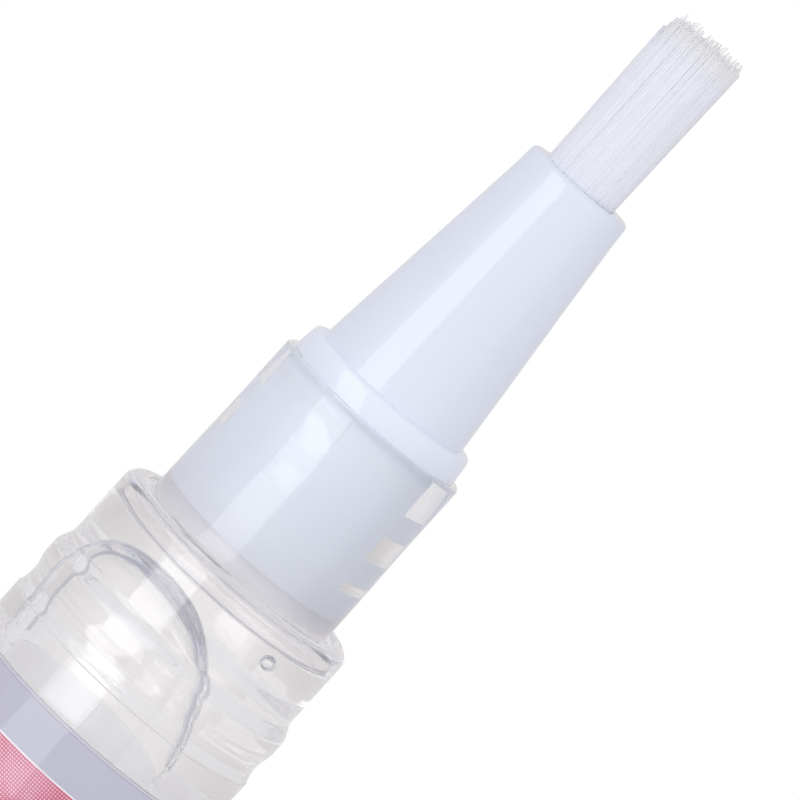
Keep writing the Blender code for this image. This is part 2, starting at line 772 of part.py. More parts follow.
def build_knob(surface):
    """The twist knob: a closed cup with shallow finger flutes and a boss that grips the sleeve."""
    boss_bore = sleeve_radius + SEAT_GAP
    boss = boss_bore + KNOB_BOSS_WALL
    shell_bore = boss + KNOB_CAVITY
    boss_front = KNOB_END_THICKNESS + KNOB_BOSS_LENGTH
    floor = KNOB_END_THICKNESS
    sides = KNOB_FLUTES * 4

    def fluted(angle):
        return knob_radius - KNOB_FLUTE_DEPTH * (1 - math.cos(KNOB_FLUTES * angle)) / 2

    rings = [
        ring(knob_radius - KNOB_EDGE_CHAMFER, 0, sides),
        ring(knob_radius, KNOB_EDGE_CHAMFER, sides),
        ring(knob_radius, KNOB_FLUTE_MARGIN, sides),
        ring(fluted, KNOB_FLUTE_MARGIN + KNOB_FLUTE_RUNOUT, sides),
        ring(fluted, KNOB_LENGTH - KNOB_FLUTE_MARGIN - KNOB_FLUTE_RUNOUT, sides),
        ring(knob_radius, KNOB_LENGTH - KNOB_FLUTE_MARGIN, sides),
        ring(knob_radius, KNOB_LENGTH - KNOB_EDGE_CHAMFER, sides),
        ring(knob_radius - KNOB_EDGE_CHAMFER / 2, KNOB_LENGTH, sides),
        ring(shell_bore, KNOB_LENGTH, sides),
        ring(shell_bore, floor, sides),
        ring(boss, floor, sides),
        ring(boss, boss_front, sides),
        ring(boss_bore, boss_front, sides),
        ring(boss_bore, floor, sides),
    ]
    return lofted("twist_knob", rings, surface)


def under(parent, pieces):
    """Puts pieces under an empty without moving them."""
    for piece in pieces:
        piece.parent = parent
        piece.matrix_parent_inverse = parent.matrix_world.inverted()


def axis_empty(name, height):
    """An empty on the pen's axis, which carries the pieces that move together."""
    made = bpy.data.objects.new(name, None)
    made.location = (0, 0, height)
    bpy.context.collection.objects.link(made)
    bpy.context.view_layer.update()
    return made


def main():
    for item in list(bpy.data.objects):
        bpy.data.objects.remove(item)

    clear = material("clear plastic", (0.86, 0.86, 0.87), 0.08, transmission=0.9, alpha=0.35)
    gel = material("clear gel", (0.84, 0.85, 0.87), 0.05, transmission=0.95, alpha=0.3)
    white = material("white plastic", (0.78, 0.82, 0.9), 0.35)
    natural = material("natural plastic", (0.8, 0.8, 0.78), 0.4)
    nylon = material("white nylon", (0.82, 0.83, 0.88), 0.45)
    printed = material("printed label film", (0.78, 0.32, 0.45), 0.3)
    rubber = material("clear silicone rubber", (0.7, 0.71, 0.72), 0.5)
    steel = material("spring steel", (0.6, 0.6, 0.62), 0.25, metallic=1.0)

    rear_seal, front_seal = seal_middles()
    build_barrel(clear)
    build_label(printed)
    build_gel(gel)
    build_neck_gel(gel)
    build_plug(white)
    build_cone(white)
    build_retainer(white)
    build_feed_tube(natural)
    build_tuft(nylon)
    build_nut(natural)
    build_ratchet_ring(natural)
    build_bush(white)

    piston_parts = [
        build_piston(white),
        build_seal("piston_front_seal", front_seal, rubber),
        build_seal("piston_rear_seal", rear_seal, rubber),
    ]
    under(axis_empty("piston_axis", piston_rear), piston_parts)
    under(axis_empty("rod_axis", rod_rear), [build_rod(natural)])
    turning_parts = [
        build_knob(white),
        build_sleeve(natural),
        build_ratchet_crown(natural),
        build_spring(steel),
    ]
    under(axis_empty("knob_axis", 0), turning_parts)


main()
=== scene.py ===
import math

import bmesh
import bpy
import numpy as np
from bpy.props import FloatProperty, FloatVectorProperty, IntProperty, PointerProperty
from mathutils import Matrix, Vector


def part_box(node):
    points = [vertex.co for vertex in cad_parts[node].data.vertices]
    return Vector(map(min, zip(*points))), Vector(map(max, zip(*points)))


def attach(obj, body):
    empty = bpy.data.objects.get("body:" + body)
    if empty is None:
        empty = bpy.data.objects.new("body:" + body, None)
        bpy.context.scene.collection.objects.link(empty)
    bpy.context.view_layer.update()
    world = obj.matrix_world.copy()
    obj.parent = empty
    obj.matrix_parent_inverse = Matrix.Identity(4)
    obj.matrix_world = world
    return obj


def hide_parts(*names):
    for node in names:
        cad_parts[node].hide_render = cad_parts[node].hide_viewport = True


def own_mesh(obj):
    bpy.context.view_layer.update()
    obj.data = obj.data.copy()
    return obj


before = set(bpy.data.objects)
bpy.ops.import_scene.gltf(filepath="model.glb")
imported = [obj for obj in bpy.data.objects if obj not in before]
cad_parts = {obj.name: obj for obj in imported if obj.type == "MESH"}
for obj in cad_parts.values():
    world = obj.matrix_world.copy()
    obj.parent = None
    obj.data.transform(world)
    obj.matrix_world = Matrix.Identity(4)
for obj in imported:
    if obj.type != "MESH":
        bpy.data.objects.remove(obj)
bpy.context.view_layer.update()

bl_info = {
    "name": "Gel remover pen",
    "version": (1, 0, 0),
    "blender": (4, 5, 0),
    "location": "View3D > Sidebar > Pen",
    "description": "Clear twist pen with a white brush head, gel, label and fluted knob",
    "category": "Add Mesh",
}

MM = 0.001
WELD = 0.000001
SMOOTH_ANGLE = math.radians(32)
FULL_TURN = 2 * math.pi

# Usual radius of a moulded edge
EDGE = 0.05 * MM


def low(node):
    """Height of a CAD node's lower end."""
    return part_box(node)[0].z


def high(node):
    """Height of a CAD node's upper end."""
    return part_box(node)[1].z


# Barrel, from the CAD model's own sizes
BODY_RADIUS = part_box("clear_barrel")[1].x
BARREL_REAR = low("clear_barrel")
RIM = high("clear_barrel")
CEILING = low("neck_gel")
CREST = CEILING + 1.38 * MM
LEDGE = high("drive_nut") + 0.05 * MM
MECHANISM_RADIUS = BODY_RADIUS - 0.9 * MM
RESERVOIR_RADIUS = BODY_RADIUS - 1.3 * MM
SHOULDER_RADIUS = BODY_RADIUS - 0.35 * MM
NECK_FOOT_RADIUS = 4.878 * MM
NECK_RADIUS = 4.81 * MM
NECK_BORE_RADIUS = 3.89 * MM
CEILING_FILLET = 0.14 * MM
CEILING_RISE = 0.13 * MM

# Brush head
PLUG_END = low("collar_plug")
COLLAR_TOP = high("collar_plug")
CONE_TIP = high("brush_cone")
SPIGOT_END = low("brush_cone")
TUFT_TOP = high("bristle_tuft")
TUFT_BASE = low("bristle_tuft")
CLUMPS = 260


class PenShape(bpy.types.PropertyGroup):
    """Sizes of the pen's visible pieces that can be changed by themselves."""

    sides: IntProperty(name="Sides", description="Sides of each round piece", default=192, min=48, max=256)
    contact: FloatProperty(
        name="Contact depth",
        description="How far the gel and the plug's ribs reach into the clear wall that they touch",
        default=0.012 * MM,
        subtype="DISTANCE",
        unit="LENGTH",
    )
    bubble_radius: FloatProperty(
        name="Bubble radius",
        description="Half the width of the large gas bubble in the gel",
        default=4.3 * MM,
        subtype="DISTANCE",
        unit="LENGTH",
    )
    strand_radius: FloatProperty(
        name="Filament radius",
        description="Radius of one filament of the brush",
        default=0.042 * MM,
        subtype="DISTANCE",
        unit="LENGTH",
    )
    strands: IntProperty(
        name="Filaments",
        description="How many nylon filaments the brush has",
        default=2600,
        min=500,
        max=4000,
    )
    end_scatter: FloatProperty(
        name="End scatter",
        description="How much the filaments of one clump differ in length",
        default=0.12 * MM,
        subtype="DISTANCE",
        unit="LENGTH",
    )
    stray_share: FloatProperty(
        name="Stray share",
        description="Share of the filaments that stand out of the trimmed end",
        default=0.035,
        min=0.0,
        max=1.0,
    )


class PenColours(bpy.types.PropertyGroup):
    """Colours of the pen's materials."""

    white: FloatVectorProperty(
        name="White plastic",
        description="Colour of the collar, cone and knob",
        default=(0.79, 0.835, 0.93),
        subtype="COLOR",
    )
    # Painted light: this white is lighter than the cone's, to make up for the light that the clear neck
    # and gel keep from the plug.
    plug_white_painted_light: FloatVectorProperty(
        name="Plug white",
        description="Colour of the plug where the gel wets it",
        default=(0.855, 0.895, 0.965),
        subtype="COLOR",
    )
    clear: FloatVectorProperty(
        name="Clear plastic",
        description="Tint of the clear barrel",
        default=(0.997, 0.996, 0.997),
        subtype="COLOR",
    )
    gel: FloatVectorProperty(
        name="Gel",
        description="Tint of the gel",
        default=(0.997, 0.997, 0.998),
        subtype="COLOR",
    )
    label_band: FloatVectorProperty(
        name="Label band",
        description="Colour of the label's unprinted ends",
        default=(0.545, 0.545, 0.625),
        subtype="COLOR",
    )
    label_rose: FloatVectorProperty(
        name="Label rose",
        description="Deepest ink of the label",
        default=(0.57, 0.065, 0.15),
        subtype="COLOR",
    )
    label_pink: FloatVectorProperty(
        name="Label pink",
        description="Lightest ink of the label",
        default=(0.72, 0.27, 0.385),
        subtype="COLOR",
    )
    nylon: FloatVectorProperty(
        name="Nylon",
        description="Colour of the brush filaments",
        default=(0.9, 0.91, 0.965),
        subtype="COLOR",
    )


class PenStudio(bpy.types.PropertyGroup):
    """Light round the pen."""

    softbox: FloatProperty(
        name="Softbox",
        description="Power of the slanted softbox",
        default=4.1,
        unit="POWER",
    )
    surround: FloatProperty(
        name="Surround",
        description="Brightness of the studio behind the pen",
        default=0.8,
    )
    behind_camera: FloatProperty(
        name="Behind the camera",
        description="Brightness of the studio on the camera's side",
        default=1.05,
    )


def grey(level):
    """A colour without a hue."""
    return (level, level, level)


def shade(tint, share):
    """A tint made darker or lighter."""
    return tuple(channel * share for channel in tint)


def connect(tree, node, inputs):
    """Sets each input of a node to a value, or links it from a socket."""
    for name, value in inputs.items():
        if isinstance(value, bpy.types.NodeSocket):
            tree.links.new(value, node.inputs[name])
        else:
            node.inputs[name].default_value = value


def feed(tree, shader, **inputs):
    """Sets or links the shader's inputs, their names written with underscores."""
    connect(tree, shader, {name.replace("_", " "): value for name, value in inputs.items()})


def add(tree, kind, inputs=None, **settings):
    """A new node with its settings and inputs."""
    made = tree.nodes.new(kind)
    for name, value in settings.items():
        setattr(made, name, value)
    connect(tree, made, inputs or {})
    return made


def calculated(tree, operation, *values):
    """The result of a calculation with one or two values."""
    return add(tree, "ShaderNodeMath", dict(enumerate(values)), operation=operation).outputs[0]


def mapped(tree, value, start, end, result_start=0.0, result_end=1.0):
    """A value carried from one range to another, and held at the ends of it."""
    limits = {"From Min": start, "From Max": end, "To Min": result_start, "To Max": result_end}
    return add(tree, "ShaderNodeMapRange", {"Value": value, **limits}).outputs["Result"]


def mixed(tree, share, first, second, blend_type="MIX"):
    """Two colours mixed by the second one's share."""
    inputs = {"Fac": share}
    for name, colour in (("Color1", first), ("Color2", second)):
        inputs[name] = colour if isinstance(colour, bpy.types.NodeSocket) else (*colour, 1.0)
    return add(tree, "ShaderNodeMixRGB", inputs, blend_type=blend_type).outputs["Color"]


def ramp(tree, factor, *stops):
    """A colour ramp through stops of (position, colour)."""
    made = add(tree, "ShaderNodeValToRGB", {"Fac": factor})
    elements = made.color_ramp.elements
    while len(elements) < len(stops):
        elements.new(0.5)
    for element, (position, colour) in zip(elements, stops):
        element.position = position
        element.color = (*colour, 1.0)
    return made.outputs["Color"]


def own_place(tree):
    """The object's own coordinates, in metres."""
    return add(tree, "ShaderNodeTexCoord").outputs["Object"]


def axis(tree, name):
    """One of the object's own coordinates."""
    return add(tree, "ShaderNodeSeparateXYZ", {"Vector": own_place(tree)}).outputs[name]


def noise(tree, scale, detail=2.0, stretch=(1, 1, 1), distortion=0.0):
    """Noise on the object's own coordinates, with scale in features per metre."""
    place = own_place(tree)
    if stretch != (1, 1, 1):
        place = add(tree, "ShaderNodeMapping", {"Vector": place, "Scale": stretch}).outputs["Vector"]
    inputs = {"Vector": place, "Scale": scale, "Detail": detail, "Distortion": distortion}
    return add(tree, "ShaderNodeTexNoise", inputs).outputs["Fac"]


def source(shader, name):
    """The socket that feeds one of the shader's inputs."""
    return shader.inputs[name].links[0].from_socket


def bump(tree, shader, height, depth, normal=None):
    """Relief of a given depth in metres, linked to the shader's normal."""
    inputs = {"Height": height, "Strength": 1.0, "Distance": depth}
    if normal is not None:
        inputs["Normal"] = normal
    relief = add(tree, "ShaderNodeBump", inputs).outputs["Normal"]
    feed(tree, shader, Normal=relief)
    return relief


def white_plastic(tree, shader, share=1.0):
    """Glossy bluish white moulding with a faint flow of the melt."""
    tint = shade(bpy.context.scene.pen_colours.white, share)
    colour = ramp(tree, noise(tree, 260, 3.0, (1, 1, 0.35)), (0.3, shade(tint, 0.975)), (0.7, tint))
    polish = ramp(tree, noise(tree, 1400, 2.0), (0.3, grey(0.06)), (0.7, grey(0.11)))
    feed(tree, shader, IOR=1.55, Base_Color=colour, Roughness=polish)
    waves = bump(tree, shader, noise(tree, 330, 1.0, (1, 1, 0.3)), 0.012 * MM)
    bump(tree, shader, noise(tree, 9000, 1.0), 0.0004 * MM, waves)


def seat_plastic(tree, shader):
    """The brush seat's white, with painted light: the collar is a lighter copy of the cone's white, the
    plug a lighter painted white with random tone and a painted shade at its lower end, and there are two
    glossy patches.
    """
    # Painted light: the collar is the cone's white made 6% lighter, to make up for its faces coming out
    # darker than the cone's.
    white_plastic(tree, shader, 1.06)
    tint = tuple(bpy.context.scene.pen_colours.plug_white_painted_light)
    height = axis(tree, "Z")
    above = calculated(tree, "GREATER_THAN", height, RIM)
    # Painted light: the plug below the rim gets the lighter plug white, with random tone, to make up for
    # the light that the clear neck keeps from it.
    plug_painted_light_and_shade = ramp(tree, noise(tree, 170, 1.0, (1, 1, 0.7)), (0.35, shade(tint, 0.95)), (0.6, tint))
    # Painted shade: greyer towards the plug's lower end, over its last 0.2 mm.
    plug_painted_light_and_shade = mixed(tree, mapped(tree, height, PLUG_END, PLUG_END + 0.2 * MM), (0.77, 0.775, 0.815), plug_painted_light_and_shade)
    colour = mixed(tree, above, plug_painted_light_and_shade, source(shader, "Base Color"))
    polish = mixed(tree, above, grey(0.3), source(shader, "Roughness"))
    wander = 0.25 * MM
    soft = 0.05 * MM
    patch_middle = 1.1 * MM
    level = mapped(tree, noise(tree, 900, 2.0), 0.0, 1.0, -wander, wander)
    level = calculated(tree, "ADD", height, level)
    aside = calculated(tree, "ABSOLUTE", calculated(tree, "ADD", axis(tree, "X"), patch_middle))
    facing = mapped(tree, aside, 0.6 * MM, 0.8 * MM, 1.0, 0.0)
    for middle, half in ((RIM - 1.5 * MM, 0.97 * MM), (RIM - 3.97 * MM, 0.53 * MM)):
        gap = calculated(tree, "ABSOLUTE", calculated(tree, "SUBTRACT", level, middle))
        patch = calculated(tree, "MULTIPLY", mapped(tree, gap, half - soft, half + soft, 1.0, 0.0), facing)
        polish = mixed(tree, patch, polish, grey(0.01))
    feed(tree, shader, Base_Color=colour, Roughness=polish)


def clear_plastic(tree, shader):
    """Clear moulded plastic with a faint waviness and a little haze."""
    tint = tuple(bpy.context.scene.pen_colours.clear)
    flow = noise(tree, 300, 2.0, (1, 1, 0.5))
    colour = ramp(tree, flow, (0.35, shade(tint, 0.992)), (0.65, tint))
    haze = ramp(tree, noise(tree, 700, 3.0), (0.4, grey(0.0)), (0.8, grey(0.05)))
    feed(tree, shader, IOR=1.5, Transmission_Weight=1.0, Base_Color=colour, Roughness=haze)
    bump(tree, shader, noise(tree, 420, 1.5, (1, 1, 0.6)), 0.01 * MM)


def clear_gel(tree, shader, tint=None):
    """Clear gel, slightly uneven in itself."""
    tint = tint or tuple(bpy.context.scene.pen_colours.gel)
    swirl = noise(tree, 350, 2.0, distortion=1.5)
    colour = ramp(tree, swirl, (0.35, shade(tint, 0.992)), (0.65, tint))
    feed(tree, shader, IOR=1.38, Transmission_Weight=1.0, Roughness=0.0, Base_Color=colour)
    bump(tree, shader, noise(tree, 380, 1.0), 0.006 * MM)


def paint_light_and_shade_over(tree, shader, share, colour, transmission):
    """Mixes a painted colour into a clear material by a share and lets less light through there: painted
    shade in the neck gel and a painted reflection on the bubble's skin.
    """
    painted_colour = mixed(tree, share, source(shader, "Base Color"), colour)
    passed = mapped(tree, share, 0.0, 1.0, 1.0, transmission)
    feed(tree, shader, Base_Color=painted_colour, Transmission_Weight=passed)


def gel_skin(tree, shader):
    """The gel's skin on the long bubble: clear face on, and where it curves away a lavender painted
    reflection of the grey studio, standing for the band that total reflection makes there.
    """
    clear_gel(tree, shader)
    painted_reflection_share = add(tree, "ShaderNodeLayerWeight", {"Blend": 0.5}).outputs["Facing"]
    # Painted reflection: lavender and less clear where the skin curves away.
    paint_light_and_shade_over(tree, shader, mapped(tree, painted_reflection_share, 0.4, 0.55), (0.66, 0.68, 0.76), 0.4)


def still_gel(tree, shader):
    """The gel that stands in the neck: tinted a little darker as painted shade, and greyer and less clear
    under the plug, a painted shade from the plug above it.
    """
    # Painted shade: the neck gel's tint is a little darker than the reservoir gel's.
    clear_gel(tree, shader, (0.96, 0.955, 0.965))
    # Painted shade: greyer and less clear over the last 0.3 mm under the plug.
    painted_shade_under_plug = mapped(tree, axis(tree, "Z"), CREST - 0.3 * MM, CREST - 0.05 * MM)
    paint_light_and_shade_over(tree, shader, painted_shade_under_plug, (0.84, 0.83, 0.865), 0.25)


def natural_plastic(tree, shader):
    """Unfilled milky plastic of the hidden drive."""
    colour = ramp(tree, noise(tree, 500, 3.0), (0.3, (0.72, 0.72, 0.68)), (0.7, (0.82, 0.82, 0.79)))
    polish = ramp(tree, noise(tree, 2500), (0.3, grey(0.35)), (0.7, grey(0.5)))
    feed(tree, shader, IOR=1.5, Transmission_Weight=0.12, Base_Color=colour, Roughness=polish)
    bump(tree, shader, noise(tree, 3500, 2.0), 0.003 * MM)


def silicone(tree, shader):
    """Milky silicone rubber of the piston's seals."""
    colour = ramp(tree, noise(tree, 900, 3.0), (0.3, (0.62, 0.64, 0.67)), (0.7, (0.72, 0.74, 0.77)))
    polish = ramp(tree, noise(tree, 4000), (0.3, grey(0.3)), (0.7, grey(0.45)))
    feed(tree, shader, IOR=1.41, Transmission_Weight=0.3, Base_Color=colour, Roughness=polish)
    bump(tree, shader, noise(tree, 5000, 2.0), 0.002 * MM)


def spring_steel(tree, shader):
    """Drawn steel wire with fine lines along it."""
    drawn = noise(tree, 2500, 4.0, (1, 1, 6))
    colour = ramp(tree, drawn, (0.3, (0.42, 0.42, 0.44)), (0.7, (0.62, 0.62, 0.63)))
    polish = ramp(tree, drawn, (0.3, grey(0.2)), (0.7, grey(0.38)))
    feed(tree, shader, Metallic=1.0, Base_Color=colour, Roughness=polish)
    bump(tree, shader, drawn, 0.002 * MM)


def nylon(tree, shader):
    """Fine white filaments, each a little lighter or darker than the next, and painted paler towards their
    free ends as painted light against the shade among the ends.
    """
    tint = tuple(bpy.context.scene.pen_colours.nylon)
    strand = add(tree, "ShaderNodeAttribute", attribute_name="strand_shade").outputs["Fac"]
    shades = ramp(tree, strand, (0.0, shade(tint, 0.96)), (0.5, tint), (1.0, shade(tint, 1.005)))
    # Painted light: the top 1.3 mm of the filaments is made paler, near white at the ends.
    cut = mapped(tree, axis(tree, "Z"), TUFT_TOP - 1.3 * MM, TUFT_TOP - 0.5 * MM)
    colour = mixed(tree, cut, shades, (0.98, 0.98, 0.985))
    feed(tree, shader, IOR=1.53, Roughness=0.32, Specular_IOR_Level=0.3, Base_Color=colour)
    bump(tree, shader, noise(tree, 6000, 1.0, (1, 1, 0.1)), 0.002 * MM)


def printed_film(tree, shader):
    """Label film: bare lavender ends, a thin white line, a plain rose tint in fine dots, and painted
    shadow and highlight lines along each edge of the film.
    """
    colours = bpy.context.scene.pen_colours
    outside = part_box("label")[1].x
    height = axis(tree, "Z")
    dots_round = 322
    turn = calculated(tree, "ARCTAN2", axis(tree, "Y"), axis(tree, "X"))
    across = calculated(tree, "MULTIPLY", turn, dots_round)
    along = calculated(tree, "MULTIPLY", height, dots_round / outside)
    waves = [calculated(tree, "COSINE", direction) for direction in (across, along)]
    dots = mapped(tree, calculated(tree, "ADD", *waves), 0.35, 1.35)
    cloud = noise(tree, 190, 3.0, (1, 1, 0.8), 0.6)
    ink = ramp(tree, cloud, (0.33, tuple(colours.label_pink)), (0.57, tuple(colours.label_rose)))
    paper = ramp(tree, cloud, (0.33, (0.86, 0.74, 0.82)), (0.57, (0.76, 0.48, 0.58)))
    tint = mixed(tree, dots, ink, paper)
    middle = (high("label") + low("label")) / 2
    half = (high("label") - low("label")) / 2
    away = calculated(tree, "ABSOLUTE", calculated(tree, "SUBTRACT", height, middle))
    bare = half - 2.18 * MM
    rings = (
        (bare - 0.035 * MM, (0.9, 0.88, 0.9)),
        (bare + 0.035 * MM, tuple(colours.label_band)),
        # Painted shadow and painted highlight: the dark, light and dark lines at each film edge stand for
        # the edge's shadow and highlight.
        (half - 0.19 * MM, (0.44, 0.44, 0.5)),
        (half - 0.14 * MM, (0.62, 0.61, 0.66)),
        (half - 0.05 * MM, (0.4, 0.4, 0.45)),
    )
    for start, colour in rings:
        tint = mixed(tree, calculated(tree, "GREATER_THAN", away, start), tint, colour)
    flat = add(tree, "ShaderNodeVectorMath", {0: own_place(tree), 1: (1, 1, 0)}, operation="MULTIPLY")
    reach = add(tree, "ShaderNodeVectorMath", {0: flat.outputs["Vector"]}, operation="LENGTH")
    printed = calculated(tree, "GREATER_THAN", reach.outputs["Value"], outside - 0.05 * MM)
    colour = mixed(tree, printed, (0.96, 0.95, 0.955), tint)
    polish = ramp(tree, noise(tree, 1200), (0.3, grey(0.04)), (0.7, grey(0.09)))
    depth = mapped(tree, printed, 0.0, 1.0, 2.0 * MM, 0.4 * MM)
    feed(tree, shader, IOR=1.5, Base_Color=colour, Roughness=polish)
    feed(tree, shader, Subsurface_Weight=1.0, Subsurface_Radius=(1.0, 1.0, 1.0), Subsurface_Scale=depth)
    bump(tree, shader, noise(tree, 500, 2.0), 0.004 * MM)


def studio_paper(tree, shader):
    """Matt white paper, a little brighter than its light."""
    colour = ramp(tree, noise(tree, 60, 4.0), (0.3, grey(0.73)), (0.7, grey(0.75)))
    feed(tree, shader, Roughness=0.9, Base_Color=colour)
    feed(tree, shader, Emission_Color=(1, 1, 1, 1), Emission_Strength=0.15)


FINISHES = {
    "white_plastic": (white_plastic, "white moulded plastic"),
    "seat_plastic": (seat_plastic, "white plastic with painted light"),
    "clear_plastic": (clear_plastic, "clear moulded plastic"),
    "gel": (clear_gel, "clear gel"),
    "gel_skin": (gel_skin, "gel skin"),
    "still_gel": (still_gel, "still gel"),
    "natural_plastic": (natural_plastic, "natural plastic"),
    "rubber": (silicone, "silicone rubber"),
    "spring_steel": (spring_steel, "spring steel"),
    "nylon": (nylon, "nylon filaments"),
    "label_film": (printed_film, "printed label film"),
    "paper": (studio_paper, "studio paper"),
}


def surface(finish):
    """The material of a finish, made when it is first asked for."""
    maker, name = FINISHES[finish]
    made = bpy.data.materials.get(name)
    if made is None:
        made = bpy.data.materials.new(name)
        made.use_nodes = True
        maker(made.node_tree, made.node_tree.nodes["Principled BSDF"])
    return made


def coat(piece, finish):
    """Gives a piece one finish."""
    piece.data.materials.clear()
    piece.data.materials.append(surface(finish))


def dress(piece, finish, body, *nodes, slot=None):
    """Gives a finished piece its material and its body, and hides the CAD nodes that it stands for."""
    coat(piece, finish)
    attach(piece, body)
    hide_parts(*nodes)


def deselect_all():
    """Leaves edit mode and deselects every object."""
    if bpy.context.object and bpy.context.object.mode != "OBJECT":
        bpy.ops.object.mode_set(mode="OBJECT")
    bpy.ops.object.select_all(action="DESELECT")


def pick(piece, chosen, *values):
    """In edit mode, selects the vertices that pass a test with these values."""
    mesh = bmesh.from_edit_mesh(piece.data)
    for vertex in mesh.verts:
        vertex.select = chosen(vertex, *values)
    mesh.select_flush_mode()
    bmesh.update_edit_mesh(piece.data)


def join(pieces, main):
    """Joins pieces to the main one."""
    deselect_all()
    for piece in (*pieces, main):
        piece.select_set(True)
    bpy.context.view_layer.objects.active = main
    bpy.ops.object.join()


def widened(place, factor):
    """A place moved straight out from the axis."""
    return Vector((place.x * factor, place.y * factor, place.z))


def half_wave(share):
    """Runs smoothly from 0 to 1 and back as share goes from 0 to 1."""
    return (1 - math.cos(FULL_TURN * share)) / 2


def eased(start, end, steps=14):
    """Points between two points on an S-shaped ramp, both ends included."""
    across = end[0] - start[0]
    along = end[1] - start[1]
    shares = [step / steps for step in range(steps + 1)]
    return [(start[0] + across * half_wave(share / 2), start[1] + along * share) for share in shares]


def softened(corners, closed, steps=6):
    """The outline through corners of (radius, height, fillet), each rounded by its fillet."""
    points = []
    count = len(corners)
    for number, corner in enumerate(corners):
        here = Vector(corner[:2])
        fillet = corner[2] if len(corner) > 2 else 0
        if not fillet or (not closed and number in (0, count - 1)):
            points.append((here.x, here.y))
            continue
        back = (Vector(corners[number - 1][:2]) - here).normalized()
        ahead = (Vector(corners[(number + 1) % count][:2]) - here).normalized()
        half = back.angle(ahead) / 2
        centre = here + (back + ahead).normalized() * fillet / math.sin(half)
        start = (here + back * fillet / math.tan(half) - centre).normalized()
        end = (here + ahead * fillet / math.tan(half) - centre).normalized()
        for step in range(steps + 1):
            point = centre + start.slerp(end, step / steps) * fillet
            points.append((point.x, point.y))
    return points


def turned(name, corners, sides=None, start=0.0, sweep=FULL_TURN):
    """A round piece: its outline is drawn point by point beside the axis and spun round it."""
    closed = corners[0][0] > WELD or corners[-1][0] > WELD
    outline = softened(corners, closed)
    sides = sides or bpy.context.scene.pen_shape.sides
    deselect_all()
    bpy.ops.mesh.primitive_plane_add(size=MM)
    piece = bpy.context.object
    piece.name = name
    piece.data.name = name
    bpy.ops.object.mode_set(mode="EDIT")
    bpy.ops.mesh.select_mode(type="VERT")
    bpy.ops.mesh.merge(type="CENTER")
    last = Vector((0, 0, 0))
    for number, (radius, height) in enumerate(outline):
        point = Vector((radius * math.cos(start), radius * math.sin(start), height))
        move = {"value": point - last}
        if number == 0:
            bpy.ops.transform.translate(**move)
        else:
            bpy.ops.mesh.extrude_region_move(TRANSFORM_OT_translate=move)
        last = point
    if closed:
        pick(piece, lambda vertex: len(vertex.link_edges) == 1)
        bpy.ops.mesh.edge_face_add()
    bpy.ops.mesh.select_all(action="SELECT")
    bpy.ops.mesh.spin(steps=sides, angle=sweep, center=(0, 0, 0), axis=(0, 0, 1))
    if sweep < FULL_TURN:
        bpy.ops.mesh.select_all(action="DESELECT")
        bpy.ops.mesh.select_non_manifold()
        bpy.ops.mesh.edge_face_add()
    bpy.ops.mesh.select_all(action="SELECT")
    bpy.ops.mesh.remove_doubles(threshold=WELD)
    bpy.ops.mesh.normals_make_consistent(inside=False)
    bpy.ops.object.mode_set(mode="OBJECT")
    bpy.ops.object.shade_smooth_by_angle(angle=SMOOTH_ANGLE)
    return piece


class BuildBarrel(bpy.types.Operator):
    """Clear moulding: rear opening, body, groove, cap bead, shoulder with its moat, and neck"""

    bl_idname = "pen.build_barrel"
    bl_label = "Clear barrel"

    def execute(self, context):
        groove = BODY_RADIUS - 0.155 * MM
        bead = BODY_RADIUS - 0.015 * MM
        crest_inner = 5.28 * MM
        moat = CREST - 0.38 * MM
        bead_front = CREST - 3.67 * MM
        bead_top = bead_front - 1.0 * MM
        bead_rear = bead_top - 0.55 * MM
        groove_front = bead_rear - 0.85 * MM
        groove_rear = groove_front - 0.24 * MM
        body_edge = groove_rear - 0.66 * MM
        corners = [
            (MECHANISM_RADIUS, BARREL_REAR, 0.08 * MM),
            (BODY_RADIUS, BARREL_REAR, 0.2 * MM),
            (BODY_RADIUS, body_edge, 0.01 * MM),
        ]
        corners += eased((BODY_RADIUS - 0.07 * MM, body_edge + 0.03 * MM), (groove, groove_rear))
        corners += eased((groove, groove_front), (bead, bead_rear))
        corners += eased((bead, bead_top), (SHOULDER_RADIUS, bead_front))
        corners += [
            (SHOULDER_RADIUS, CREST, 0.6 * MM),
            (crest_inner, CREST, EDGE),
            (crest_inner - 0.08 * MM, moat, EDGE),
            (NECK_FOOT_RADIUS + 0.02 * MM, moat, 0.12 * MM),
            (NECK_FOOT_RADIUS, CREST + 0.5 * MM),
            (4.856 * MM, CREST + 2.6 * MM),
            (4.825 * MM, CREST + 4.0 * MM),
            (NECK_RADIUS, CREST + 5.4 * MM),
            (NECK_RADIUS, RIM, 0.2 * MM),
            (NECK_BORE_RADIUS, RIM, 0.12 * MM),
            (NECK_BORE_RADIUS, CEILING, 0.04 * MM),
            (RESERVOIR_RADIUS, CEILING + CEILING_RISE, CEILING_FILLET),
            (RESERVOIR_RADIUS, LEDGE, EDGE),
            (MECHANISM_RADIUS, LEDGE, EDGE),
        ]
        dress(turned("barrel_moulding", corners), "clear_plastic", "barrel", "clear_barrel")
        return {"FINISHED"}


